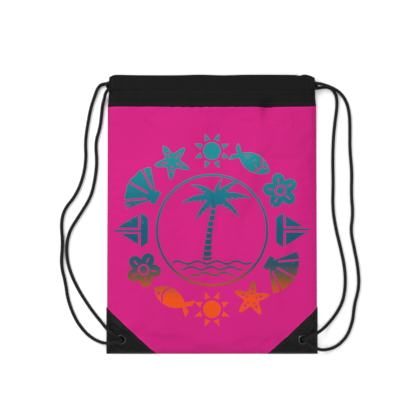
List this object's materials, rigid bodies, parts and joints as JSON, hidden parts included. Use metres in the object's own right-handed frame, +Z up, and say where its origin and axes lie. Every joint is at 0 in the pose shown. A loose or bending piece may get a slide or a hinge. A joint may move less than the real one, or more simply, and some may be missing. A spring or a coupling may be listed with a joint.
{
  "type": "drawstring backpack",
  "caption": "Flat drawstring backpack with a printed front panel, contrast collar and corner patches, and twin cords that run through the mouth's casings to corner eyelets.",
  "frame": {"origin": "centre of the bag's footprint on the surface it lies on, at that surface", "axes": "+Z up out of the printed front, +Y from the bottom seam towards the mouth, +X to the right across the front"},
  "size_m": [0.5048, 0.4686, 0.0239],
  "materials": {
    "printed_cloth": "woven polyester with a printed badge",
    "plain_cloth": "woven polyester, unprinted",
    "collar_cloth": "black woven polyester",
    "patch_leatherette": "black coated leatherette, fine grain",
    "eyelet_metal": "gunmetal plating",
    "cord_braid": "black twisted polyester cord"
  },
  "bodies": {
    "bag": {"front_panel": "printed_cloth", "back_panel": "plain_cloth", "front_band": "collar_cloth", "back_band": "collar_cloth", "back_casing": "collar_cloth", "front_left_patch": "patch_leatherette", "front_right_patch": "patch_leatherette", "back_left_patch": "patch_leatherette", "back_right_patch": "patch_leatherette", "left_eyelet": "eyelet_metal", "right_eyelet": "eyelet_metal", "left_eyelet_washer": "eyelet_metal", "right_eyelet_washer": "eyelet_metal", "left_knot": "cord_braid", "right_knot": "cord_braid", "left_inner_strand": "cord_braid", "left_outer_strand": "cord_braid", "right_inner_strand": "cord_braid", "right_outer_strand": "cord_braid"},
    "front_casing": {"front_casing": "collar_cloth"},
    "left_cord": {"left_cord_back_run": "cord_braid", "left_cord_turn": "cord_braid"},
    "right_cord": {"right_cord_back_run": "cord_braid", "right_cord_turn": "cord_braid"},
    "left_cord_front": {"left_cord_front_run": "cord_braid"},
    "right_cord_front": {"right_cord_front_run": "cord_braid"}
  },
  "joints": [
    {"name": "mouth_open", "type": "hinge", "parent": "bag", "child": "front_casing", "pos_m": [0, 0.20515, 0.02], "axis": [1, 0, 0], "range_deg": [0, 75], "deforming": ["left_inner_strand", "right_outer_strand", "left_cord_turn", "right_cord_turn"]},
    {"name": "left_cord_slide", "type": "slide", "parent": "bag", "child": "left_cord", "axis": [1, 0, 0], "range_m": [0, 0.008], "deforming": ["left_outer_strand"]},
    {"name": "right_cord_slide", "type": "slide", "parent": "bag", "child": "right_cord", "axis": [-1, 0, 0], "range_m": [0, 0.008], "deforming": ["right_inner_strand"]},
    {"name": "left_front_turn", "type": "hinge", "parent": "left_cord", "child": "left_cord_front", "pos_m": [0, 0.20515, 0.02], "axis": [1, 0, 0], "range_deg": [0, 75]},
    {"name": "right_front_turn", "type": "hinge", "parent": "right_cord", "child": "right_cord_front", "pos_m": [0, 0.20515, 0.02], "axis": [1, 0, 0], "range_deg": [0, 75]}
  ],
  "couplings": [
    {"joint": "left_front_turn", "follows": "mouth_open", "ratio": 1},
    {"joint": "right_front_turn", "follows": "mouth_open", "ratio": 1}
  ]
}
